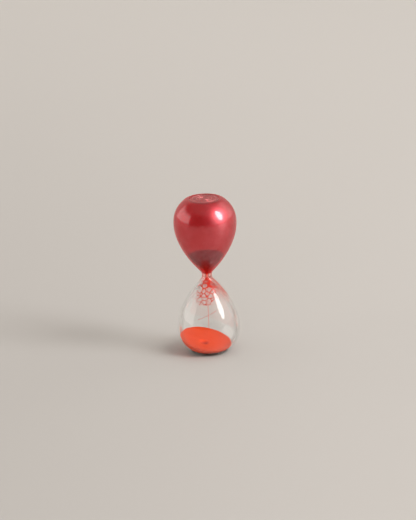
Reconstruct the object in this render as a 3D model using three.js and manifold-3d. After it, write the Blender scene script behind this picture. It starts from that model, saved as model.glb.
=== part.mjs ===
// A free-standing sand timer of blown glass: two equal bulbs joined by a calibrated throat.
// Millimetres, +Z up. The origin is the centre of the circle that the timer stands on.

import * as THREE from 'three';
import { mergeVertices } from 'three/addons/utils/BufferGeometryUtils.js';
import Module from 'manifold-3d';

const wasm = await Module();
wasm.setup();

// ---- Driving dimensions ----

const HEIGHT = 140;
const MIDDLE = HEIGHT / 2;

// Outside of one bulb. Heights are counted from the middle of the neck.
const BULB_RADIUS = 27.55;
const WIDEST_HEIGHT = 48;
const END_RADIUS = 15.8;
const NECK_RADIUS = 4.2;
const NECK_FILLET = 5.6;
const WALL_ANGLE = THREE.MathUtils.degToRad(43);
const CROWN_ANGLE = THREE.MathUtils.degToRad(36);

// How far each curve keeps its end direction, as a share of the distance between its ends.
const WALL_HOLD = { atNeck: 0.21, atWidest: 0.386 };
const CROWN_HOLD = { atWidest: 0.42, atEnd: 0.37 };

// Glass thickness. It grows towards the neck, where it leaves the narrow bore.
const WALL = 1.25;
const THROAT_EXTRA = 1.85;
const THROAT_BLEND_HEIGHT = 14;
const LOWER_END_WALL = 1.4;
const UPPER_END_WALL = 2.8;

// The fused neck: the bulbs end at the seams, and the throat lies between them.
const SEAM_HEIGHT = 2.5;
const GAP = 0.3;

// The ring that each flat end stands on, and the disc that closes the filling hole.
const RING_RADIUS = 13;
const BASE_HOLLOW_DEPTH = 0.3;
const FILL_HOLE_RADIUS = 11;
const SEAT_DEPTH = 1.6;
const DISC_BELOW_RING = 0.2;

// Sand and the falling stream.
const UPPER_SAND_LEVEL = 88;
const UPPER_SAND_REPOSE = THREE.MathUtils.degToRad(28);
const LOWER_SAND_LEVEL = 9.4;
const LOWER_SAND_TILT = THREE.MathUtils.degToRad(13.8);
const LOWER_SAND_HIGH_SIDE = THREE.MathUtils.degToRad(154.7);
const CRATER_CENTRE_X = -1.5;
const CRATER_RADIUS = 5;
const CRATER_DEPTH = 2.8;
const STREAM_RADIUS = 0.45;

// Facets.
const AROUND = 40;
const STREAM_AROUND = 10;
const CLEAR = 60;
const OUTLINE_STEPS = [5, 10, 9];

// ---- Solids ----

function solid(geometry) {
  const bare = geometry.clone();
  bare.deleteAttribute('normal');
  bare.deleteAttribute('uv');
  const merged = mergeVertices(bare);
  const vertProperties = new Float32Array(merged.attributes.position.array);
  const triVerts = new Uint32Array(merged.index.array);
  return new wasm.Manifold(new wasm.Mesh({ numProp: 3, vertProperties, triVerts }));
}

function geometryOf(manifold) {
  const { vertProperties, triVerts } = manifold.getMesh();
  const geometry = new THREE.BufferGeometry();
  geometry.setAttribute('position', new THREE.BufferAttribute(vertProperties, 3));
  geometry.setIndex(new THREE.BufferAttribute(triVerts, 1));
  geometry.computeVertexNormals();
  return geometry;
}

/** A solid turned about +Z from points (radius, z) that start low on the axis and end high on it. */
function turned(points) {
  return solid(new THREE.LatheGeometry(points, AROUND).rotateX(Math.PI / 2));
}

/** A disc or a cone between two heights, centred on x. */
function round(low, high, lowRadius, highRadius = lowRadius, x = 0, sides = AROUND) {
  const geometry = new THREE.CylinderGeometry(highRadius, lowRadius, high - low, sides);
  geometry.rotateX(Math.PI / 2).translate(x, 0, (low + high) / 2);
  return solid(geometry);
}

// ---- The glass outline ----

/** Half of the outside outline, from the middle of the neck to the edge of the flat end. */
function outlineCurves() {
  const neck = new THREE.EllipseCurve(
    NECK_RADIUS + NECK_FILLET, 0, NECK_FILLET, NECK_FILLET, Math.PI, Math.PI - WALL_ANGLE, true,
  );
  const neckEnd = neck.getPoint(1);
  const widest = new THREE.Vector2(BULB_RADIUS, WIDEST_HEIGHT);
  const end = new THREE.Vector2(END_RADIUS, MIDDLE);
  const wallSpan = neckEnd.distanceTo(widest);
  const crownSpan = widest.distanceTo(end);
  const outwards = new THREE.Vector2(Math.sin(WALL_ANGLE), Math.cos(WALL_ANGLE));
  const inwards = new THREE.Vector2(-Math.cos(CROWN_ANGLE), Math.sin(CROWN_ANGLE));
  const up = new THREE.Vector2(0, 1);
  const wall = new THREE.CubicBezierCurve(
    neckEnd,
    neckEnd.clone().addScaledVector(outwards, wallSpan * WALL_HOLD.atNeck),
    widest.clone().addScaledVector(up, -wallSpan * WALL_HOLD.atWidest),
    widest,
  );
  const crown = new THREE.CubicBezierCurve(
    widest,
    widest.clone().addScaledVector(up, crownSpan * CROWN_HOLD.atWidest),
    end.clone().addScaledVector(inwards, -crownSpan * CROWN_HOLD.atEnd),
    end,
  );
  return [neck, wall, crown];
}

function glassThickness(heightFromMiddle) {
  const clearOfThroat = THREE.MathUtils.smoothstep(heightFromMiddle, 0, THROAT_BLEND_HEIGHT);
  return WALL + THROAT_EXTRA * (1 - clearOfThroat);
}

/** Points of the half outline, moved inwards from the outside by inset(height). */
function halfOutline(inset) {
  const points = [];
  outlineCurves().forEach((curve, index) => {
    const steps = OUTLINE_STEPS[index];
    const first = index === 0 ? 0 : 1;
    for (let step = first; step <= steps; step += 1) {
      const at = step / steps;
      const point = curve.getPoint(at);
      const tangent = curve.getTangent(at);
      const inwards = new THREE.Vector2(-tangent.y, tangent.x);
      points.push(point.addScaledVector(inwards, inset(point.y)));
    }
  });
  points[0].y = 0;
  return points;
}

/** The whole two-bulb form, as a solid of revolution inset from the outside of the glass. */
function twoBulbs(inset) {
  const half = halfOutline(inset);
  const top = half.at(-1).y;
  const above = half.map((point) => new THREE.Vector2(point.x, MIDDLE + point.y));
  const below = half.slice(1).reverse().map((point) => new THREE.Vector2(point.x, MIDDLE - point.y));
  const bottomCentre = new THREE.Vector2(0, MIDDLE - top);
  const topCentre = new THREE.Vector2(0, MIDDLE + top);
  return turned([bottomCentre, ...below, ...above, topCentre]);
}

/** The hollow inside the glass, kept clear of the walls by a margin. */
function cavity(margin = 0) {
  const hollow = twoBulbs((height) => glassThickness(height) + margin);
  return hollow.intersect(round(LOWER_END_WALL + margin, HEIGHT - UPPER_END_WALL - margin, CLEAR));
}

// ---- The pieces ----

const glass = twoBulbs(() => 0).subtract(cavity());

function upperBulb() {
  const fillHole = round(HEIGHT - UPPER_END_WALL - 1, HEIGHT + 1, FILL_HOLE_RADIUS);
  const discSeat = round(HEIGHT - SEAT_DEPTH, HEIGHT + 1, RING_RADIUS);
  const part = glass.intersect(round(MIDDLE + SEAM_HEIGHT + GAP / 2, HEIGHT + 1, CLEAR));
  return part.subtract(fillHole).subtract(discSeat);
}

function closingDisc() {
  const low = HEIGHT - SEAT_DEPTH + GAP;
  return round(low, HEIGHT - DISC_BELOW_RING, RING_RADIUS - GAP);
}

function calibratedThroat() {
  const reach = SEAM_HEIGHT - GAP / 2;
  return glass.intersect(round(MIDDLE - reach, MIDDLE + reach, CLEAR));
}

function lowerBulb() {
  const part = glass.intersect(round(-1, MIDDLE - SEAM_HEIGHT - GAP / 2, CLEAR));
  return part.subtract(round(-1, BASE_HOLLOW_DEPTH, RING_RADIUS));
}

/** Sand in the funnel, drawn down to a cone over the throat. */
function upperSand() {
  const bottom = MIDDLE + SEAM_HEIGHT + 2 * GAP;
  const slope = Math.tan(UPPER_SAND_REPOSE);
  const body = cavity(GAP).intersect(round(bottom, UPPER_SAND_LEVEL, CLEAR));
  const wallRadius = body.boundingBox().max[0];
  const drawdown = round(UPPER_SAND_LEVEL - wallRadius * slope, UPPER_SAND_LEVEL, 0, wallRadius);
  return body.subtract(drawdown);
}

/** Sand on the bottom of the lower bulb, with a tilted surface and a crater under the stream. */
function lowerSand() {
  const below = new THREE.BoxGeometry(2 * CLEAR, 2 * CLEAR, CLEAR);
  below.translate(0, 0, -CLEAR / 2);
  below.rotateY(-LOWER_SAND_TILT).rotateZ(LOWER_SAND_HIGH_SIDE);
  below.translate(0, 0, LOWER_SAND_LEVEL);
  const craterBottom = LOWER_SAND_LEVEL - CRATER_DEPTH;
  const rim = CRATER_RADIUS * 2;
  const crater = round(
    craterBottom, craterBottom + 2 * CRATER_DEPTH, CRATER_RADIUS / 3, rim, CRATER_CENTRE_X,
  );
  return cavity(GAP).intersect(solid(below)).subtract(crater);
}

/** The thread of falling sand, from the throat to the crater. */
function fallingStream() {
  const low = LOWER_SAND_LEVEL - CRATER_DEPTH + GAP;
  const high = MIDDLE + SEAM_HEIGHT + GAP;
  return round(low, high, STREAM_RADIUS, STREAM_RADIUS, 0, STREAM_AROUND);
}

// ---- Finishes ----

function clearGlass() {
  return new THREE.MeshStandardMaterial({
    color: 0xe4ebea, roughness: 0.04, metalness: 0, transparent: true, opacity: 0.3,
  });
}

function redLustreGlass() {
  return new THREE.MeshStandardMaterial({ color: 0x9c1a22, roughness: 0.18, metalness: 0.75 });
}

function orangeRedSand() {
  return new THREE.MeshStandardMaterial({ color: 0xe8472a, roughness: 0.95, metalness: 0 });
}

// ---- The assembly ----

const hourglass = new THREE.Group();

function add(name, manifold, material) {
  const mesh = new THREE.Mesh(geometryOf(manifold), material);
  mesh.name = name;
  hourglass.add(mesh);
}

add('upper_bulb', upperBulb(), redLustreGlass());
add('closing_disc', closingDisc(), redLustreGlass());
add('calibrated_throat', calibratedThroat(), clearGlass());
add('lower_bulb', lowerBulb(), clearGlass());
add('upper_sand', upperSand(), orangeRedSand());
add('falling_stream', fallingStream(), orangeRedSand());
add('lower_sand', lowerSand(), orangeRedSand());

export default hourglass;
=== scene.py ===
"""The looks of a blown-glass hourglass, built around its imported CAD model.

Metres, +Z up, the viewer on the -Y side."""

import functools
import math
import random

import bmesh
import bpy
import numpy as np
from mathutils import Matrix, Vector, noise

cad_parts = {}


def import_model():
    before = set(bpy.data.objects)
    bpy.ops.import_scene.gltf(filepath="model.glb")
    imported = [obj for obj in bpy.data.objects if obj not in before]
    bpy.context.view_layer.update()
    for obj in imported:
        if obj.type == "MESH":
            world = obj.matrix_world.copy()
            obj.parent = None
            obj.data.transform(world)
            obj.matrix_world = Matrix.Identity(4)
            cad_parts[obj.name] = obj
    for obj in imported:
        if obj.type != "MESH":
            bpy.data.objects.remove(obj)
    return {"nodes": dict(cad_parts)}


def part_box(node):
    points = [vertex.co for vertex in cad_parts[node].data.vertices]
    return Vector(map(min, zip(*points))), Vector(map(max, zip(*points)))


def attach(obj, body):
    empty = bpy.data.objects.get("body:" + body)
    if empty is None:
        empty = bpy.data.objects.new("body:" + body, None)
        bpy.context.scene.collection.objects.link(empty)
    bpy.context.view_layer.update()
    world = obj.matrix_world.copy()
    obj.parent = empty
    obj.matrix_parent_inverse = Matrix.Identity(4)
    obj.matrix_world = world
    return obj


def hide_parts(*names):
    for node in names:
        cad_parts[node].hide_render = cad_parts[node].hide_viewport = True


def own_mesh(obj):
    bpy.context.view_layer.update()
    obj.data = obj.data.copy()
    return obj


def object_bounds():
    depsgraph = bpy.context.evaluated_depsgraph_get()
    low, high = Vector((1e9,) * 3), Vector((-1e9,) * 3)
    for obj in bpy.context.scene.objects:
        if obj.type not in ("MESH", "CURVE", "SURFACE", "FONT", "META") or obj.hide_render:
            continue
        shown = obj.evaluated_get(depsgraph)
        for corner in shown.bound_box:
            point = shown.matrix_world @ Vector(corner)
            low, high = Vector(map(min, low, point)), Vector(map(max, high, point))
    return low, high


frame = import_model()
cad_low, cad_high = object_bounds()

MM = 0.001

# ---- Sizes that come from the frame ----

HEIGHT = cad_high.z
MIDDLE = HEIGHT / 2
BULB_RADIUS = cad_high.x
SEAM_TOP = (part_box("calibrated_throat")[1].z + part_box("upper_bulb")[0].z) / 2
SEAM_HEIGHT = SEAM_TOP - MIDDLE
DISC_LOW, DISC_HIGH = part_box("closing_disc")
STREAM_LOW, STREAM_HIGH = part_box("falling_stream")
UPPER_SAND_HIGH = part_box("upper_sand")[1]

# ---- The shape of the glass, as the CAD source has it ----

NECK_RADIUS = 4.2 * MM
NECK_FILLET = 5.6 * MM
WALL_ANGLE = math.radians(43)
CROWN_ANGLE = math.radians(36)
WIDEST_HEIGHT = 48 * MM
END_RADIUS = 15.8 * MM
WALL_HOLD = (0.21, 0.386)
CROWN_HOLD = (0.42, 0.37)
WALL = 1.25 * MM
THROAT_EXTRA = 1.85 * MM
THROAT_BLEND_HEIGHT = 14 * MM
LOWER_END_WALL = 1.4 * MM
UPPER_END_WALL = 2.8 * MM
RING_RADIUS = 13 * MM
BASE_HOLLOW_DEPTH = 0.3 * MM
FILL_HOLE_RADIUS = 11 * MM
SEAT_DEPTH = 1.6 * MM
UPPER_SAND_REPOSE = math.radians(28)

DISC_GROOVES = ((4.2 * MM, 0.25 * MM), (6.6 * MM, 0.3 * MM), (10.6 * MM, 0.3 * MM))
GROOVE_DEPTH = 0.22 * MM
GROOVE_FLOOR_SHARE = 0.4
DISC_EDGE_ROUND = 0.45 * MM
EDGE_ROUND = 2.3 * MM
INNER_ROUND = 3.5 * MM
# Closer than the CAD seams, because fused glass shows no open gap.
SEAM_GAP = 0.04 * MM
AROUND = 160
OUTLINE_STEPS = (12, 40, 34)
SHARP_ANGLE = math.radians(38)
ON_AXIS = 1e-7
# How flat a face has to lie to be a top, and how alike two faces of one plane have to be.
UPWARD = 0.9
SAME_PLANE = 0.9999
SAND_MARGIN = 0.12 * MM

# ---- Colours and finishes ----
# A texture's scale is in features per metre. A range is where a blend starts and where it is complete.

LUSTRE_RED = (0.46, 0.052, 0.066, 1)
LUSTRE_PALE = (0.50, 0.075, 0.096, 1)
LUSTRE_DEEP = (0.47, 0.025, 0.025, 1)
LUSTRE_SEEN_THROUGH = (1.0, 0.07, 0.06, 1)
LUSTRE_FROM_INSIDE = (0.86, 0.014, 0.014, 1)
LUSTRE_FOR_LAMPS = (0.1, 0.008, 0.008, 1)
LUSTRE_COVER = 0.55
INSIDE_COVER = 0.04
ETCHED = (0.80, 0.42, 0.40, 1)
SAND_COLOUR = (0.93, 0.064, 0.005, 1)
SAND_DARK = (0.70, 0.026, 0.003, 1)
SAND_LIGHT = (0.97, 0.10, 0.012, 1)
# Painted shade for the crater's pit in the lower heap.
SAND_PAINTED_PIT_SHADE = (0.64, 0.024, 0.003, 1)
# The clinging grains are painted a darker red than the heap, as painted shade for grains inside the bulb.
CLINGING_SAND_SHADED_COLOUR = (0.80, 0.05, 0.025, 1)
GLASS_IOR = 1.43
GLASS_TINT = (0.992, 0.992, 0.99, 1)
FILM_TINT = (1.0, 0.47, 0.43, 1)
LUSTRE_ROUGHNESS = (0.36, 0.44)
LUSTRE_MEAN_ROUGHNESS = 0.4
LUSTRE_CLOUD_SCALE = 90
LUSTRE_CLOUD_RANGE = (0.35, 0.7)
LUSTRE_STREAK_SCALE = 900
LUSTRE_STREAK_RANGE = (0.2, 0.8)
LUSTRE_FLAKE_SCALE = 2600
LUSTRE_FLAKE_BUMP = (0.1, 0.00003)
LUSTRE_COAT_IOR = 1.95
LUSTRE_COAT_ROUGHNESS = 0.06
LUSTRE_DEEP_HEIGHTS = (SEAM_TOP + 14 * MM, SEAM_TOP + 3 * MM)
INSIDE_TINT = (1.0, 0.97, 0.97, 1)
INSIDE_ROUGHNESS = 0.08
INSIDE_CLOUD_SCALE = 120
INSIDE_CLOUD_RANGE = (0.3, 0.7)
ETCHED_RIM = (12.5 * MM, 0.35 * MM)
RIPPLE_SCALE = 45
RIPPLE_BUMP = (0.25, 0.0006)
SAND_SPECULAR = 0.12
SAND_MEAN_ROUGHNESS = 0.9
SAND_ROUGHNESS = (0.7, 0.98)
SAND_ROUGH_RANGE = (0.0, 0.9)
SAND_GRAIN_SCALE = 3400
SAND_GRAIN_BUMP = (0.6, 0.00012)
SAND_MAIN_TONES = (0.35, 0.8)
SAND_DRIFT_SCALE = 160
SAND_DRIFT_RANGE = (0.3, 0.75)
SAND_DRIFT_SHARE = 0.35
GLASS_SHADE_FACING = (0.955, 0.955, 0.95, 1)
GLASS_SHADE_EDGE = (0.62, 0.59, 0.57, 1)
GLASS_SHADE_BLEND = 0.25
FILM_LEAN = 0.6
FILM_CLOUD_SCALE = 160
FILM_RAGGED = 8 * MM
FILM_LOW = 60 * MM
FILM_HIGH = 72 * MM
RIM_BLEND = 0.5
RIM_FACING = (0.4, 0.75)
RIM_SOFTNESS = 0.9
FOOT_SHADE = (0.3, 0.15, 0.095, 1)
FOOT_HEIGHTS = (5 * MM, 1 * MM)

# ---- Sand ----

CRATER_CENTRE = (-4.6 * MM, -5.8 * MM)
CRATER_RADIUS = 3.8 * MM
CRATER_DEPTH = 3.0 * MM
CRATER_FLOOR_RADIUS = 0.15 * CRATER_RADIUS
CRATER_EDGE_RADIUS = 1.3 * CRATER_RADIUS
CRATER_RIM = 0.2 * MM
CRATER_RIM_RADIUS = 1.6 * CRATER_RADIUS
CRATER_RIM_WIDTH = 0.5 * CRATER_RADIUS
# Painted shade: the heap's colour gets darker towards the crater's bottom, within CRATER_SHADE_RADIUS of
# it.
CRATER_SHADE = 1.0
CRATER_SHADE_RADIUS = 1.25 * CRATER_RADIUS
CRATER_FULL_SHADE_SHARE = 0.4
HEAP_FLOOR = -6 * MM
HEAP_HALF_WIDTH = 28 * MM
HEAP_STEP = 0.28 * MM
HEAP_NOISE = 1.0
CHARGE_FLOOR = MIDDLE - 2 * MM
CHARGE_HALF_WIDTH = 18 * MM
CHARGE_STEP = 0.3 * MM
CHARGE_TIP_RADIUS = 0.8 * MM
CHARGE_NOISE = 31.0
# Unevenness of free sand: how wide and how high, for each scale, and its own noise layer.
ROUGH_SAND = ((7 * MM, 0.28 * MM, 0.0), (2.2 * MM, 0.09 * MM, 5.0), (0.45 * MM, 0.07 * MM, 9.0))
# Each grain is stretched by its own shares of its size, and reaches this much over it at most.
GRAIN_STRETCH = (0.75, 1.25)
GRAIN_REACH = 1.3
STREAM_SEED = 17
STREAM_GRAINS = 900
STREAM_GRAIN_SIZE = (0.09 * MM, 0.15 * MM)
STREAM_THINNING = 1.25
# The stream's width as a share of the CAD thread: at the top, and what it gains on the way down.
STREAM_WIDTH = (0.55, 0.45)
STREAM_CLEAR_OF_SAND = 0.2 * MM
STREAM_CLEAR_OF_TOP = 0.3 * MM
CLING_SEED = 41
CLING_STAND_OFF = 0.9
CLING_GRAIN_SIZE = (0.1 * MM, 0.17 * MM)
CLING_TRIES = 60000
CLING_REACH = 22.5 * MM
CLING_SIDE = math.radians(-95)
CLING_SPREAD = math.radians(23)
CLING_SPREAD_AT_TOP = 1.6
CLING_CELL = 4.2 * MM
CLING_LOOSE = 0.07
# The net's line width in cells: at the lower end, and what it gains towards the top.
CLING_LINE = (0.075, 0.25)
CLING_PATCH_SCALE = 0.6
# Bare patches: how much they grow downwards, and how rare they are at the top.
CLING_BARE = (0.6, 0.62)
# The share of grains that stay: at the top, and what is lost on the way down. Fewer stay in the neck.
CLING_KEPT = (0.65, 0.3)
CLING_NECK_RADIUS = 10 * MM
TRAIL_GRAINS = 170
TRAIL_TURN = (math.radians(-112), math.radians(-70))
TRAIL_DEPTH = (34 * MM, 27 * MM)
TRAIL_WIDTH = 0.16 * MM

# ---- Stage, lamps, room and camera. Each lamp comes from an azimuth and an elevation. ----

FLOOR_RADIUS = 7.2
COVE_RADIUS = 0.3
COVE_TURN = math.radians(80)
COVE_STEPS = 12
FLOOR_SIDES = 128
FLOOR_RINGS = (0.0, 0.4, 1.2)
FLOOR_ROUGHNESS = 0.62
FLOOR_CLOUD_SCALE = 1.3
FLOOR_CLOUD_REACH = 0.2
# The floor's colour carries painted light and shade: lighter far away and darker on the left. Apart from
# that it is darker towards the camera.
FLOOR_NEAR = (0.635, 0.604, 0.568, 1)
FLOOR_FAR_PAINTED_LIGHT = (0.765, 0.733, 0.69, 1)
FLOOR_NEAR_Y = -0.6
FLOOR_FAR_Y = 1.8
FLOOR_LEAN = 0.5
FLOOR_LEFT_PAINTED_SHADE = (0.555, 0.528, 0.495, 1)
FLOOR_LEFT_X = (0.22, -0.28)
FLOOR_FRONT = (0.24, 0.225, 0.21, 1)
FLOOR_FRONT_Y = (-0.75, -1.3)
KEY_COLOUR = (0.985, 0.99, 1.0)
KEY_FROM = (64.5, 32)
KEY_DISTANCE = 6.0
KEY_SIZE = (2.35, 4.3)
KEY_BRIGHTNESS = 8.4
KEY_SHEEN = 19.0
FILL_FROM = (-12, 7)
FILL_DISTANCE = 4.0
FILL_SIZE = (2.4, 0.7)
FILL_BRIGHTNESS = 16.0
ROOM_FRONT = (0.10, 0.092, 0.086, 1)
ROOM_RIGHT = (1.5, 1.42, 1.34, 1)
ROOM_BEHIND = (0.60, 0.56, 0.52, 1)
ROOM_ABOVE = (0.36, 0.335, 0.315, 1)
WINDOW = (1.7, 1.62, 1.54, 1)
# Each pair of angles is where a change starts and where it is complete, in degrees.
ROOM_RIGHT_AZIMUTH = (12, 60)
ROOM_BEHIND_AZIMUTH = (118, 150)
ROOM_BEHIND_LEFT_AZIMUTH = (-128, -134)
ROOM_ABOVE_ELEVATION = (34, 62)
WINDOW_NEAR_EDGE = (-61, -63)
WINDOW_FAR_EDGE = (-132, -129)
WINDOW_TOP_EDGE = (42, 26)
CAMERA_DISTANCE = 2.5
CAMERA_PITCH = 18.06
CAMERA_ROLL = math.radians(2.09)
CAMERA_LENS = 197.4
CAMERA_SENSOR = 36
CAMERA_REACH = 20
CAMERA_AIM_ABOVE = 12.8 * MM
CAMERA_AIM_RIGHT = 1.45 * MM
BOUNCES = 24
SEE_THROUGH_LAYERS = 32


# ---- Outlines ----


def bezier(a, b, c, d, steps):
    t = np.linspace(0, 1, steps + 1)[:, None]
    s = 1 - t
    return s**3 * a + 3 * s * s * t * b + 3 * s * t * t * c + t**3 * d


def outline():
    """Half of the outside outline as (radius, height above the middle), from neck to flat end."""
    turn = np.linspace(0, WALL_ANGLE, OUTLINE_STEPS[0] + 1)
    centre = NECK_RADIUS + NECK_FILLET
    neck = np.stack([centre - NECK_FILLET * np.cos(turn), NECK_FILLET * np.sin(turn)], axis=1)
    widest = np.array([BULB_RADIUS, WIDEST_HEIGHT])
    end = np.array([END_RADIUS, MIDDLE])
    up = np.array([0, 1])
    outwards = np.array([math.sin(WALL_ANGLE), math.cos(WALL_ANGLE)])
    inwards = np.array([-math.cos(CROWN_ANGLE), math.sin(CROWN_ANGLE)])
    wall_span = np.linalg.norm(widest - neck[-1])
    crown_span = np.linalg.norm(end - widest)
    wall = bezier(
        neck[-1],
        neck[-1] + outwards * wall_span * WALL_HOLD[0],
        widest - up * wall_span * WALL_HOLD[1],
        widest,
        OUTLINE_STEPS[1],
    )
    crown = bezier(
        widest,
        widest + up * crown_span * CROWN_HOLD[0],
        end - inwards * crown_span * CROWN_HOLD[1],
        end,
        OUTLINE_STEPS[2],
    )
    return np.vstack([neck, wall[1:], crown[1:]])


def smooth(low, high, value):
    t = min(1, max(0, (value - low) / (high - low)))
    return t * t * (3 - 2 * t)


def thickness(height):
    return WALL + THROAT_EXTRA * (1 - smooth(0, THROAT_BLEND_HEIGHT, height))


def inset_outline(end_wall, margin=0.0):
    """The inner side of the glass wall, cut off inside the flat end. margin moves it further in."""
    outside = outline()
    along = np.gradient(outside, axis=0)
    along /= np.linalg.norm(along, axis=1)[:, None]
    inwards = np.stack([-along[:, 1], along[:, 0]], axis=1)
    depth = np.array([thickness(h) + margin for h in outside[:, 1]])[:, None]
    inside = outside + inwards * depth
    inside[0, 1] = 0
    top = MIDDLE - end_wall - margin
    kept = [tuple(p) for p in inside if p[1] < top]
    last = kept[-1]
    over = next(tuple(p) for p in inside if p[1] >= top)
    share = (top - last[1]) / (over[1] - last[1])
    return kept + [(last[0] + (over[0] - last[0]) * share, top)]


def rounded(before, corner, after, reach, steps=8):
    """A smooth turn at a corner, starting and ending at most reach from it."""
    corner = Vector(corner)
    start = corner + (Vector(before) - corner).normalized() * reach
    end = corner + (Vector(after) - corner).normalized() * reach
    points = []
    for i in range(steps + 1):
        t = i / steps
        points.append(tuple(start * (1 - t) ** 2 + corner * 2 * t * (1 - t) + end * t * t))
    return points


def trimmed(points, corner, reach):
    """The points that are further than reach from a corner."""
    return [tuple(p) for p in points if (Vector(p) - Vector(corner)).length > reach]


def cavity_half(end_wall, margin=0.0):
    """Half of the hollow's outline, from the throat to the axis, with a rounded inner corner."""
    inside = inset_outline(end_wall, margin)
    corner = inside[-1]
    wall = trimmed(inside[:-1], corner, INNER_ROUND)
    turn = rounded(wall[-1], corner, (0, corner[1]), INNER_ROUND)
    return wall + turn + [(0.0, corner[1])]


def outside_half():
    """Half of the outside outline, from the throat to the flat end's ring, with a rounded edge."""
    points = [tuple(p) for p in outline()]
    corner = points[-1]
    wall = trimmed(points[:-1], corner, EDGE_ROUND)
    return wall + rounded(wall[-1], corner, (0, corner[1]), EDGE_ROUND)


def above(points, height):
    """The part of a half outline above a height, starting exactly at it."""
    kept = [p for p in points if p[1] > height]
    under = [p for p in points if p[1] <= height][-1]
    share = (height - under[1]) / (kept[0][1] - under[1])
    return [(under[0] + (kept[0][0] - under[0]) * share, height)] + kept


def below_height(points, height):
    """The part of a half outline up to a height, ending exactly at it."""
    return [p for p in points if p[1] < height] + [above(points, height)[0]]


def flip(points):
    """A half outline turned over, so that it runs down from the throat."""
    return [(r, -h) for r, h in points]


def lifted(points):
    """From heights above the middle to heights above the table."""
    return [(r, h + MIDDLE) for r, h in points]


# ---- Meshes ----


def finish_mesh(name, bm):
    bmesh.ops.recalc_face_normals(bm, faces=bm.faces)
    for face in bm.faces:
        face.smooth = True
    for edge in bm.edges:
        edge.smooth = len(edge.link_faces) < 2 or edge.calc_face_angle(0) < SHARP_ANGLE
    mesh = bpy.data.meshes.new(name)
    bm.to_mesh(mesh)
    bm.free()
    obj = bpy.data.objects.new(name, mesh)
    bpy.context.scene.collection.objects.link(obj)
    return obj


def lathe(name, profile, closed=False, sides=AROUND, inside_from=None):
    """A mesh turned about +Z. A closed profile is a loop, an open one starts and ends on the axis.

    Faces from point inside_from of the profile on take the piece's second material."""
    bm = bmesh.new()
    rings = []
    for radius, height in profile:
        if radius < ON_AXIS:
            rings.append([bm.verts.new((0, 0, height))])
            continue
        ring = []
        for i in range(sides):
            turn = 2 * math.pi * i / sides
            ring.append(bm.verts.new((radius * math.cos(turn), radius * math.sin(turn), height)))
        rings.append(ring)
    pairs = list(zip(rings, rings[1:]))
    if closed:
        pairs.append((rings[-1], rings[0]))
    for index, (a, b) in enumerate(pairs):
        for i in range(sides):
            j = (i + 1) % sides
            corners = [a[i % len(a)], a[j % len(a)], b[j % len(b)], b[i % len(b)]]
            face = bm.faces.new(list(dict.fromkeys(corners)))
            face.material_index = int(inside_from is not None and index >= inside_from)
    return finish_mesh(name, bm)


def keep_inside(obj, space):
    """Trims a piece to a hidden solid, wherever the two are posed."""
    modifier = obj.modifiers.new("inside_glass", "BOOLEAN")
    modifier.operation = "INTERSECT"
    modifier.object = space
    modifier.solver = "MANIFOLD"


def grain(bm, centre, size, seed):
    """One rough grain: a small eight-sided solid, stretched and turned by its own random numbers."""
    rng = random.Random(seed)
    angle = rng.uniform(0, math.tau)
    turn = Matrix.Rotation(angle, 3, Vector((rng.uniform(-1, 1), rng.uniform(-1, 1), 1)))
    stretch = [size * rng.uniform(*GRAIN_STRETCH) for _ in range(3)]
    tips = []
    for axis in range(3):
        for side in (-1, 1):
            tip = Vector((0, 0, 0))
            tip[axis] = side * stretch[axis]
            tips.append(bm.verts.new(Vector(centre) + turn @ tip))
    for x in (0, 1):
        for y in (2, 3):
            for z in (4, 5):
                bm.faces.new((tips[x], tips[y], tips[z]))


# ---- Materials ----


def new_material(name, **values):
    """A Principled material. Plain values are set on the shader's own sockets."""
    made = bpy.data.materials.new(name)
    made.use_nodes = True
    shader = made.node_tree.nodes["Principled BSDF"]
    for socket, value in values.items():
        shader.inputs[socket.replace("_", " ")].default_value = value
    return made, made.node_tree, shader


def node(tree, kind, **settings):
    made = tree.nodes.new(kind)
    for key, value in settings.items():
        setattr(made, key, value)
    return made


def texture(tree, kind, scale, source, **inputs):
    made = node(tree, kind)
    made.inputs["Scale"].default_value = scale
    for key, value in inputs.items():
        made.inputs[key].default_value = value
    tree.links.new(source, made.inputs["Vector"])
    return made


def position(tree):
    """Where a point of the surface is on its own mesh, in metres, in the row frame at rest."""
    return node(tree, "ShaderNodeTexCoord").outputs["Object"]


def ramp(tree, source, stops):
    made = node(tree, "ShaderNodeValToRGB")
    while len(made.color_ramp.elements) < len(stops):
        made.color_ramp.elements.new(0.5)
    for element, (place, colour) in zip(made.color_ramp.elements, stops):
        element.position = place
        element.color = colour
    tree.links.new(source, made.inputs["Fac"])
    return made.outputs["Color"]


def spread(tree, source, low, high, to_low=0.0, to_high=1.0):
    made = node(tree, "ShaderNodeMapRange", interpolation_type="SMOOTHSTEP")
    for key, value in zip(("From Min", "From Max", "To Min", "To Max"), (low, high, to_low, to_high)):
        made.inputs[key].default_value = value
    tree.links.new(source, made.inputs["Value"])
    return made.outputs["Result"]


def maths(tree, operation, *values):
    made = node(tree, "ShaderNodeMath", operation=operation)
    for socket, value in zip(made.inputs, values):
        set_or_link(tree, socket, value)
    return made.outputs["Value"]


def set_or_link(tree, socket, value):
    if isinstance(value, bpy.types.NodeSocket):
        tree.links.new(value, socket)
    else:
        socket.default_value = value


def mix_colour(tree, share, a, b):
    made = node(tree, "ShaderNodeMix", data_type="RGBA")
    # The node's sockets for colours come after those for numbers and vectors.
    factor, first, second = (made.inputs[i] for i in (0, 6, 7))
    set_or_link(tree, factor, share)
    set_or_link(tree, first, a)
    set_or_link(tree, second, b)
    return made.outputs[2]


def bump(tree, shader, height, strength, distance, socket="Normal"):
    made = node(tree, "ShaderNodeBump")
    made.inputs["Strength"].default_value = strength
    made.inputs["Distance"].default_value = distance
    tree.links.new(height, made.inputs["Height"])
    tree.links.new(made.outputs["Normal"], shader.inputs[socket])
    return made


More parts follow.
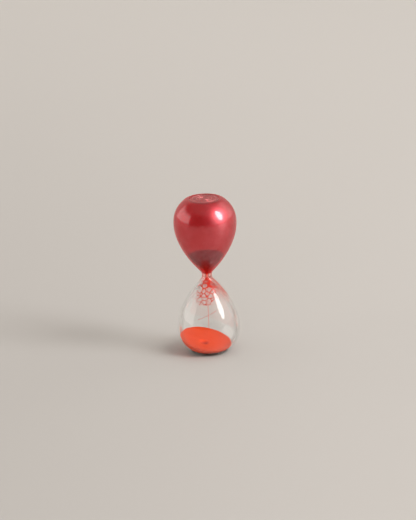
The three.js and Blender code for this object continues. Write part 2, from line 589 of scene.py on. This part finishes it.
def split(tree, place):
    made = node(tree, "ShaderNodeSeparateXYZ")
    tree.links.new(place, made.inputs["Vector"])
    return made.outputs


def transparent(tree, colour):
    made = node(tree, "ShaderNodeBsdfTransparent")
    set_or_link(tree, made.inputs["Color"], colour)
    return made.outputs[0]


def mix_shaders(tree, share, first, second):
    made = node(tree, "ShaderNodeMixShader")
    set_or_link(tree, made.inputs[0], share)
    tree.links.new(first, made.inputs[1])
    tree.links.new(second, made.inputs[2])
    return made.outputs[0]


def show(tree, shader_output):
    tree.links.new(shader_output, tree.nodes["Material Output"].inputs["Surface"])


def for_lamps(tree):
    """1 for the rays that carry lamp light and soft room light to a surface behind glass."""
    path = node(tree, "ShaderNodeLightPath")
    return maths(tree, "MAXIMUM", path.outputs["Is Shadow Ray"], path.outputs["Is Diffuse Ray"])


def lustre_material(etched=()):
    """A film of red metallic lustre under a glossy coat. Light from behind comes through it red."""
    made, tree, shader = new_material(
        "red_lustre_etched" if etched else "red_lustre",
        Metallic=1.0,
        Roughness=LUSTRE_MEAN_ROUGHNESS,
        Coat_Weight=1.0,
        Coat_Roughness=LUSTRE_COAT_ROUGHNESS,
        Coat_IOR=LUSTRE_COAT_IOR,
    )
    place = position(tree)
    cloud = texture(tree, "ShaderNodeTexNoise", LUSTRE_CLOUD_SCALE, place, Detail=4.0, Roughness=0.55)
    flake = texture(tree, "ShaderNodeTexVoronoi", LUSTRE_FLAKE_SCALE, place)
    streak = texture(tree, "ShaderNodeTexNoise", LUSTRE_STREAK_SCALE, place, Detail=2.0)
    xyz = split(tree, place)
    pale = spread(tree, cloud.outputs["Fac"], *LUSTRE_CLOUD_RANGE)
    colour = mix_colour(tree, pale, LUSTRE_RED, LUSTRE_PALE)
    deep = spread(tree, xyz["Z"], *LUSTRE_DEEP_HEIGHTS)
    colour = mix_colour(tree, deep, colour, LUSTRE_DEEP)
    if etched:
        away = maths(tree, "SQRT", maths(tree, "ADD", squared(tree, xyz["X"]), squared(tree, xyz["Y"])))
        for radius, half_width in etched:
            off = maths(tree, "ABSOLUTE", maths(tree, "SUBTRACT", away, radius))
            colour = mix_colour(tree, spread(tree, off, half_width, half_width * 0.5), colour, ETCHED)
    tree.links.new(colour, shader.inputs["Base Color"])
    rough = spread(tree, streak.outputs["Fac"], *LUSTRE_STREAK_RANGE, *LUSTRE_ROUGHNESS)
    tree.links.new(rough, shader.inputs["Roughness"])
    bump(tree, shader, flake.outputs["Distance"], *LUSTRE_FLAKE_BUMP)
    behind = node(tree, "ShaderNodeNewGeometry").outputs["Backfacing"]
    film = transparent(tree, mix_colour(tree, behind, LUSTRE_SEEN_THROUGH, LUSTRE_FROM_INSIDE))
    cover = spread(tree, behind, 0, 1, LUSTRE_COVER, 0.0)
    seen = mix_shaders(tree, cover, film, shader.outputs[0])
    show(tree, mix_shaders(tree, for_lamps(tree), seen, transparent(tree, LUSTRE_FOR_LAMPS)))
    return made


def lustre_inside_material():
    """The inner face of the red bulb: bare glass that only glints a little."""
    made, tree, shader = new_material("red_bulb_inside", Roughness=INSIDE_ROUGHNESS)
    place = position(tree)
    cloud = texture(tree, "ShaderNodeTexNoise", INSIDE_CLOUD_SCALE, place, Detail=3.0)
    share = spread(tree, cloud.outputs["Fac"], *INSIDE_CLOUD_RANGE)
    tree.links.new(mix_colour(tree, share, LUSTRE_DEEP, LUSTRE_RED), shader.inputs["Base Color"])
    bare = transparent(tree, INSIDE_TINT)
    show(tree, mix_shaders(tree, INSIDE_COVER, bare, shader.outputs[0]))
    return made


def squared(tree, value):
    return maths(tree, "MULTIPLY", value, value)


def clear_glass_material():
    """Clear blown glass with slow ripples, and a faint red film below the seam, widest on the right."""
    made, tree, shader = new_material("clear_glass", Roughness=0.0, IOR=GLASS_IOR)
    shader.inputs["Transmission Weight"].default_value = 1.0
    place = position(tree)
    ripple = texture(tree, "ShaderNodeTexNoise", RIPPLE_SCALE, place, Detail=1.0)
    cloud = texture(tree, "ShaderNodeTexNoise", FILM_CLOUD_SCALE, place, Detail=3.0)
    xyz = split(tree, place)
    leant = maths(tree, "MULTIPLY_ADD", xyz["X"], FILM_LEAN, xyz["Z"])
    edge = maths(tree, "MULTIPLY_ADD", cloud.outputs["Fac"], FILM_RAGGED, leant)
    film = spread(tree, edge, FILM_LOW, FILM_HIGH)
    tint = mix_colour(tree, film, GLASS_TINT, FILM_TINT)
    tree.links.new(tint, shader.inputs["Base Color"])
    bump(tree, shader, ripple.outputs["Fac"], *RIPPLE_BUMP)
    rim = spread(tree, facing(tree, RIM_BLEND), *RIM_FACING, 0.0, RIM_SOFTNESS)
    seen = mix_shaders(tree, rim, shader.outputs[0], transparent(tree, tint))
    shade = transparent(tree, glass_shade(tree, xyz["Z"]))
    show(tree, mix_shaders(tree, for_lamps(tree), seen, shade))
    return made


def facing(tree, blend):
    """0 where a surface faces the viewer or a lamp, and 1 where it is seen edge-on."""
    made = node(tree, "ShaderNodeLayerWeight")
    made.inputs["Blend"].default_value = blend
    return made.outputs["Facing"]


def glass_shade(tree, height):
    """What is left of lamp light behind the glass. It is less edge-on, and least in the thick foot."""
    edge_on = facing(tree, GLASS_SHADE_BLEND)
    shade = mix_colour(tree, edge_on, GLASS_SHADE_FACING, GLASS_SHADE_EDGE)
    return mix_colour(tree, spread(tree, height, *FOOT_HEIGHTS), shade, FOOT_SHADE)


def sand_material(name, main, painted_pit_shade=None):
    """Fine dyed sand: every grain has its own tone. Shade in the crater's pit is painted in, as a darker
    red towards its bottom.
    """
    made, tree, shader = new_material(
        name, Roughness=SAND_MEAN_ROUGHNESS, Specular_IOR_Level=SAND_SPECULAR
    )
    place = position(tree)
    grains = texture(tree, "ShaderNodeTexVoronoi", SAND_GRAIN_SCALE, place)
    drift = texture(tree, "ShaderNodeTexNoise", SAND_DRIFT_SCALE, place, Detail=5.0)
    low, high = SAND_MAIN_TONES
    stops = [(0.0, SAND_DARK), (low, main), (high, main), (1.0, SAND_LIGHT)]
    tone = ramp(tree, grains.outputs["Color"], stops)
    share = spread(tree, drift.outputs["Fac"], *SAND_DRIFT_RANGE, 0.0, SAND_DRIFT_SHARE)
    colour = mix_colour(tree, share, tone, SAND_LIGHT)
    # Painted shade: the sand's colour darkens towards the crater's bottom.
    if painted_pit_shade:
        centre, reach, depth = painted_pit_shade
        off_centre = node(tree, "ShaderNodeVectorMath", operation="DISTANCE")
        tree.links.new(place, off_centre.inputs[0])
        off_centre.inputs[1].default_value = centre
        full = reach * CRATER_FULL_SHADE_SHARE
        pit_shade_share = spread(tree, off_centre.outputs["Value"], reach, full, 0.0, depth)
        colour = mix_colour(tree, pit_shade_share, colour, SAND_PAINTED_PIT_SHADE)
    tree.links.new(colour, shader.inputs["Base Color"])
    rough = spread(tree, grains.outputs["Distance"], *SAND_ROUGH_RANGE, *SAND_ROUGHNESS)
    tree.links.new(rough, shader.inputs["Roughness"])
    bump(tree, shader, grains.outputs["Distance"], *SAND_GRAIN_BUMP)
    return made


# ---- Glass pieces ----


def upper_bulb():
    """The red bulb, with a seat and a filling hole in its flat end."""
    outer = above(outside_half(), SEAM_HEIGHT + SEAM_GAP)
    inner = above(cavity_half(UPPER_END_WALL), SEAM_HEIGHT + SEAM_GAP)
    seat_low = MIDDLE - SEAT_DEPTH
    hole_low = MIDDLE - UPPER_END_WALL
    seat = [
        (RING_RADIUS, MIDDLE),
        (RING_RADIUS, seat_low),
        (FILL_HOLE_RADIUS, seat_low),
        (FILL_HOLE_RADIUS, hole_low),
    ]
    wall_in = [p for p in inner if p[0] > FILL_HOLE_RADIUS or p[1] < hole_low - INNER_ROUND]
    profile = lifted(outer + seat + wall_in[::-1])
    piece = lathe("red_bulb", profile, closed=True, inside_from=len(outer) + 1)
    piece.data.materials.append(lustre)
    piece.data.materials.append(lustre_inside)
    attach(piece, "glass")
    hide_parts("upper_bulb")


def closing_disc():
    """The disc in the filling hole, with plain ring grooves."""
    radius = DISC_HIGH.x
    low = DISC_LOW.z
    high = DISC_HIGH.z
    grooves = []
    for groove_radius, half in DISC_GROOVES:
        floor_half = half * GROOVE_FLOOR_SHARE
        grooves += [
            (groove_radius - half, high),
            (groove_radius - floor_half, high - GROOVE_DEPTH),
            (groove_radius + floor_half, high - GROOVE_DEPTH),
            (groove_radius + half, high),
        ]
    edge = rounded((0, high), (radius, high), (radius, low), DISC_EDGE_ROUND, steps=5)
    profile = [(0, low), (radius, low)] + edge[::-1] + grooves[::-1] + [(0, high)]
    piece = lathe("top_disc", profile)
    piece.data.materials.append(lustre_etched)
    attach(piece, "glass")
    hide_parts("closing_disc")


def lower_glass():
    """The clear bulb and the throat, fused into one wall."""
    outer = outside_half()
    inner = cavity_half(LOWER_END_WALL)
    inner_below = flip(inner)[::-1]
    outer_below = flip(outer)[::-1]
    collar = below_height(outer, SEAM_HEIGHT) + below_height(inner, SEAM_HEIGHT)[::-1]
    foot = [
        (0.0, BASE_HOLLOW_DEPTH - MIDDLE),
        (RING_RADIUS - BASE_HOLLOW_DEPTH, BASE_HOLLOW_DEPTH - MIDDLE),
        (RING_RADIUS, -MIDDLE),
    ]
    profile = foot + outer_below[:-1] + collar + inner_below[::-1][1:]
    piece = lathe("clear_bulb", lifted(profile))
    piece.data.materials.append(clear_glass)
    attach(piece, "glass")
    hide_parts("lower_bulb", "calibrated_throat")


# ---- Sand ----


@functools.cache
def surface_plane(name):
    """The normal and a point of the broad upper face of a CAD node."""
    faces = [p for p in frame["nodes"][name].data.polygons if p.normal.z > UPWARD]
    broadest = max(faces, key=lambda p: p.area).normal
    chosen = [p for p in faces if p.normal.dot(broadest) > SAME_PLANE]
    area = sum(p.area for p in chosen)
    centre = sum((p.center * p.area for p in chosen), Vector()) / area
    return broadest.normalized(), centre


def sand_block(name, surface, low, half_width, step):
    """A block whose top is surface(x, y). The hollow of the glass trims it, at rest and at every pose."""
    count = round(2 * half_width / step)
    bm = bmesh.new()
    grid = []
    for i in range(count + 1):
        row = []
        for j in range(count + 1):
            x = -half_width + i * step
            y = -half_width + j * step
            row.append(bm.verts.new((x, y, surface(x, y))))
        grid.append(row)
    for i in range(count):
        for j in range(count):
            bm.faces.new((grid[i][j], grid[i + 1][j], grid[i + 1][j + 1], grid[i][j + 1]))
    rim = [grid[i][0] for i in range(count)] + [grid[count][j] for j in range(count)]
    rim += [grid[i][count] for i in range(count, 0, -1)] + [grid[0][j] for j in range(count, 0, -1)]
    floor_ring = [bm.verts.new((v.co.x, v.co.y, low)) for v in rim]
    for i in range(len(rim)):
        j = (i + 1) % len(rim)
        bm.faces.new((rim[i], rim[j], floor_ring[j], floor_ring[i]))
    bm.faces.new(floor_ring)
    return finish_mesh(name, bm)


def rough_sand(x, y, seed):
    """Grain-scale and finger-scale unevenness of a free sand surface."""
    total = 0.0
    for width, rise, layer in ROUGH_SAND:
        total += noise.noise(Vector((x / width, y / width, seed + layer))) * rise
    return total


def hollow(name, lower):
    """The space that sand can fill in one bulb, as a hidden solid that rides on the glass."""
    end_wall = LOWER_END_WALL if lower else UPPER_END_WALL
    half = above(cavity_half(end_wall, SAND_MARGIN), SEAM_HEIGHT * 0.5)
    loop = [(0.0, half[0][1])] + half
    if lower:
        loop = flip(loop)
    solid = lathe(name, lifted(loop))
    solid.hide_render = True
    solid.display_type = "WIRE"
    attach(solid, "glass")
    return solid


def lower_surface(x, y):
    """How high the lower sand stands: a tilted plane with a crater under the stream."""
    normal, centre = surface_plane("lower_sand")
    plane = centre.z - (normal.x * (x - centre.x) + normal.y * (y - centre.y)) / normal.z
    away = math.hypot(x - CRATER_CENTRE[0], y - CRATER_CENTRE[1])
    bowl = -CRATER_DEPTH * (1 - smooth(CRATER_FLOOR_RADIUS, CRATER_EDGE_RADIUS, away))
    rim = CRATER_RIM * math.exp(-(((away - CRATER_RIM_RADIUS) / CRATER_RIM_WIDTH) ** 2))
    return plane + bowl + rim + rough_sand(x, y, HEAP_NOISE)


def build_lower_sand():
    piece = sand_block("lower_sand_heap", lower_surface, HEAP_FLOOR, HEAP_HALF_WIDTH, HEAP_STEP)
    piece.data.materials.append(heap_sand)
    keep_inside(piece, hollow("lower_hollow", True))
    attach(piece, "lower_heap")
    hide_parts("lower_sand")


def build_upper_sand():
    slope = math.tan(UPPER_SAND_REPOSE)
    wall_radius = UPPER_SAND_HIGH.x

    def surface(x, y):
        away = max(math.hypot(x, y), CHARGE_TIP_RADIUS)
        return UPPER_SAND_HIGH.z - (wall_radius - away) * slope + rough_sand(x, y, CHARGE_NOISE)

    piece = sand_block("upper_sand_charge", surface, CHARGE_FLOOR, CHARGE_HALF_WIDTH, CHARGE_STEP)
    piece.data.materials.append(sand)
    keep_inside(piece, hollow("upper_hollow", False))
    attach(piece, "upper_charge")
    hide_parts("upper_sand")


def build_stream():
    """Falling grains, close together at the throat and further apart where they fall faster."""
    rng = random.Random(STREAM_SEED)
    bm = bmesh.new()
    low = lower_surface(0, 0) + STREAM_CLEAR_OF_SAND
    high = STREAM_HIGH.z - STREAM_CLEAR_OF_TOP
    radius = STREAM_HIGH.x
    at_top, gain = STREAM_WIDTH
    for i in range(STREAM_GRAINS):
        share = ((i + rng.random()) / STREAM_GRAINS) ** STREAM_THINNING
        drop = high - (high - low) * share
        size = rng.uniform(*STREAM_GRAIN_SIZE)
        away = (radius - size * GRAIN_REACH) * math.sqrt(rng.random()) * (at_top + gain * share)
        turn = rng.uniform(0, math.tau)
        grain(bm, (away * math.cos(turn), away * math.sin(turn), drop), size, rng.random())
    piece = finish_mesh("falling_grains", bm)
    piece.data.materials.append(sand)
    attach(piece, "glass")
    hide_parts("falling_stream")
    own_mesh(piece)


def cling(bm, rng, wall, turn, depth):
    """One grain on the inside of the clear bulb, at a depth under the middle of the throat."""
    size = rng.uniform(*CLING_GRAIN_SIZE)
    away = float(np.interp(depth, wall[:, 1], wall[:, 0])) - size * CLING_STAND_OFF
    grain(bm, (away * math.cos(turn), away * math.sin(turn), MIDDLE - depth), size, rng.random())


def build_clinging_sand():
    """Grains stuck inside the clear bulb: a lacy net that thins out downwards, and a faint trail."""
    rng = random.Random(CLING_SEED)
    wall = np.array(inset_outline(LOWER_END_WALL))
    line, line_gain = CLING_LINE
    bare_gain, bare_rarity = CLING_BARE
    kept, kept_loss = CLING_KEPT
    bm = bmesh.new()
    for _ in range(CLING_TRIES):
        share = rng.random()
        depth = SEAM_HEIGHT + (CLING_REACH - SEAM_HEIGHT) * share
        turn = rng.gauss(CLING_SIDE, CLING_SPREAD * (CLING_SPREAD_AT_TOP - share))
        radius = float(np.interp(depth, wall[:, 1], wall[:, 0]))
        here = Vector((radius * math.cos(turn), radius * math.sin(turn), depth)) / CLING_CELL
        patch = noise.noise(here * CLING_PATCH_SCALE)
        nearest, next_nearest = noise.voronoi(here)[0][:2]
        net = line + line_gain * (1 - share) ** 2
        loose = rng.random() < CLING_LOOSE
        off_net = next_nearest - nearest > net
        if not loose and (off_net or patch < share * bare_gain - bare_rarity):
            continue
        if rng.random() > (kept - kept_loss * share) * min(1, radius / CLING_NECK_RADIUS):
            continue
        cling(bm, rng, wall, turn, depth)
    for i in range(TRAIL_GRAINS):
        share = (i + rng.random()) / TRAIL_GRAINS
        turn = TRAIL_TURN[0] + (TRAIL_TURN[1] - TRAIL_TURN[0]) * share
        depth = TRAIL_DEPTH[0] + (TRAIL_DEPTH[1] - TRAIL_DEPTH[0]) * share
        depth += rng.gauss(0, TRAIL_WIDTH)
        cling(bm, rng, wall, turn, depth)
    piece = finish_mesh("clinging_grains", bm)
    piece.data.materials.append(shaded_clinging_sand)
    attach(piece, "glass")


# ---- Stage ----


def stage():
    """A pale floor that turns up far away on all sides."""
    flat = FLOOR_RADIUS - COVE_RADIUS
    profile = [(radius, 0.0) for radius in (*FLOOR_RINGS, flat)]
    for i in range(1, COVE_STEPS + 1):
        turn = i / COVE_STEPS * COVE_TURN
        profile.append((flat + COVE_RADIUS * math.sin(turn), COVE_RADIUS * (1 - math.cos(turn))))
    floor = lathe("floor", profile, sides=FLOOR_SIDES)
    made, tree, shader = new_material("table", Roughness=FLOOR_ROUGHNESS)
    place = position(tree)
    cloud = texture(tree, "ShaderNodeTexNoise", FLOOR_CLOUD_SCALE, place, Detail=2.0)
    xyz = split(tree, place)
    # Painted light and shade: the floor gets lighter far away and darker on the left. Apart from that it
    # gets darker towards the camera.
    away = maths(tree, "MULTIPLY_ADD", xyz["X"], FLOOR_LEAN, xyz["Y"])
    away = maths(tree, "MULTIPLY_ADD", cloud.outputs["Fac"], FLOOR_CLOUD_REACH, away)
    share = spread(tree, away, FLOOR_NEAR_Y, FLOOR_FAR_Y)
    near = mix_colour(tree, spread(tree, xyz["X"], *FLOOR_LEFT_X), FLOOR_NEAR, FLOOR_LEFT_PAINTED_SHADE)
    colour = mix_colour(tree, share, near, FLOOR_FAR_PAINTED_LIGHT)
    colour = mix_colour(tree, spread(tree, xyz["Y"], *FLOOR_FRONT_Y), colour, FLOOR_FRONT)
    tree.links.new(colour, shader.inputs["Base Color"])
    floor.data.materials.append(made)


def towards(azimuth, elevation):
    """A direction from the object. Azimuth 0 is the camera's side, and 90 is its right."""
    a = math.radians(azimuth)
    e = math.radians(elevation)
    return Vector((math.sin(a) * math.cos(e), -math.cos(a) * math.cos(e), math.sin(e)))


def soft_box(name, place, distance, size, brightness, surfaces=True, gloss=True):
    """A soft oval lamp. It can be kept from lighting surfaces, or from showing in gloss and glass."""
    direction = towards(*place)
    width, height = size
    data = bpy.data.lights.new(name, "AREA")
    data.shape = "ELLIPSE"
    data.size = width
    data.size_y = height
    data.energy = brightness * math.pi**2 / 4 * width * height
    data.color = KEY_COLOUR
    light = bpy.data.objects.new(name, data)
    light.location = Vector((0, 0, MIDDLE)) + direction * distance
    light.rotation_mode = "QUATERNION"
    light.rotation_quaternion = (-direction).to_track_quat("-Z", "Y")
    light.visible_diffuse = surfaces
    light.visible_glossy = gloss
    light.visible_transmission = gloss
    bpy.context.scene.collection.objects.link(light)


def world():
    """A room that is dark behind the camera, with a window on the left and a bright wall on the right."""
    made = bpy.data.worlds.new("room")
    made.use_nodes = True
    tree = made.node_tree
    background = tree.nodes["Background"]
    xyz = split(tree, node(tree, "ShaderNodeTexCoord").outputs["Generated"])
    ahead = maths(tree, "MULTIPLY", xyz["Y"], -1.0)
    azimuth = maths(tree, "DEGREES", maths(tree, "ARCTAN2", xyz["X"], ahead))
    elevation = maths(tree, "DEGREES", maths(tree, "ARCSINE", xyz["Z"]))
    sideways = maths(tree, "ABSOLUTE", azimuth)
    colour = mix_colour(tree, spread(tree, azimuth, *ROOM_RIGHT_AZIMUTH), ROOM_FRONT, ROOM_RIGHT)
    colour = mix_colour(tree, spread(tree, sideways, *ROOM_BEHIND_AZIMUTH), colour, ROOM_BEHIND)
    behind_left = spread(tree, azimuth, *ROOM_BEHIND_LEFT_AZIMUTH)
    colour = mix_colour(tree, behind_left, colour, ROOM_BEHIND)
    near_edge = spread(tree, azimuth, *WINDOW_NEAR_EDGE)
    far_edge = spread(tree, azimuth, *WINDOW_FAR_EDGE)
    in_width = maths(tree, "MULTIPLY", near_edge, far_edge)
    in_window = maths(tree, "MULTIPLY", in_width, spread(tree, elevation, *WINDOW_TOP_EDGE))
    colour = mix_colour(tree, spread(tree, elevation, *ROOM_ABOVE_ELEVATION), colour, ROOM_ABOVE)
    colour = mix_colour(tree, in_window, colour, WINDOW)
    tree.links.new(colour, background.inputs["Color"])
    background.inputs["Strength"].default_value = 1.0
    bpy.context.scene.world = made


def camera():
    back = towards(0, CAMERA_PITCH)
    right = Vector((1, 0, 0))
    up = back.cross(right)
    centre = Vector((0, 0, MIDDLE))
    place = centre + back * CAMERA_DISTANCE
    depth = (place - centre - up * CAMERA_AIM_ABOVE - right * CAMERA_AIM_RIGHT).normalized()
    level = Vector((0, 0, 1)).cross(depth).normalized()
    upright = Matrix((level, depth.cross(level), depth)).transposed()
    turned = upright @ Matrix.Rotation(-CAMERA_ROLL, 3, "Z")
    data = bpy.data.cameras.new("camera")
    data.lens = CAMERA_LENS
    data.sensor_width = CAMERA_SENSOR
    data.clip_end = CAMERA_REACH
    made = bpy.data.objects.new("camera", data)
    made.matrix_world = Matrix.LocRotScale(place, turned, None)
    bpy.context.scene.collection.objects.link(made)
    bpy.context.scene.camera = made


lustre = lustre_material()
lustre_etched = lustre_material(DISC_GROOVES + (ETCHED_RIM,))
lustre_inside = lustre_inside_material()
clear_glass = clear_glass_material()
crater_bottom = (*CRATER_CENTRE, lower_surface(*CRATER_CENTRE))
sand = sand_material("orange_red_sand", SAND_COLOUR)
# The crater's shade, painted into the heap's colour.
painted_pit_shade = (crater_bottom, CRATER_SHADE_RADIUS, CRATER_SHADE)
heap_sand = sand_material("orange_red_sand_heap", SAND_COLOUR, painted_pit_shade)
# Clinging grains: sand painted darker, as painted shade inside the bulb.
shaded_clinging_sand = sand_material("clinging_sand", CLINGING_SAND_SHADED_COLOUR)

upper_bulb()
closing_disc()
lower_glass()
build_lower_sand()
build_upper_sand()
build_stream()
build_clinging_sand()
stage()
world()
camera()
soft_box("key", KEY_FROM, KEY_DISTANCE, KEY_SIZE, KEY_BRIGHTNESS)
soft_box("key_sheen", KEY_FROM, KEY_DISTANCE, KEY_SIZE, KEY_SHEEN, surfaces=False)
soft_box("fill", FILL_FROM, FILL_DISTANCE, FILL_SIZE, FILL_BRIGHTNESS, gloss=False)

scene = bpy.context.scene
scene.view_settings.view_transform = "Standard"
scene.cycles.caustics_reflective = False
scene.cycles.caustics_refractive = False
scene.cycles.max_bounces = BOUNCES
scene.cycles.transmission_bounces = BOUNCES
scene.cycles.transparent_max_bounces = SEE_THROUGH_LAYERS
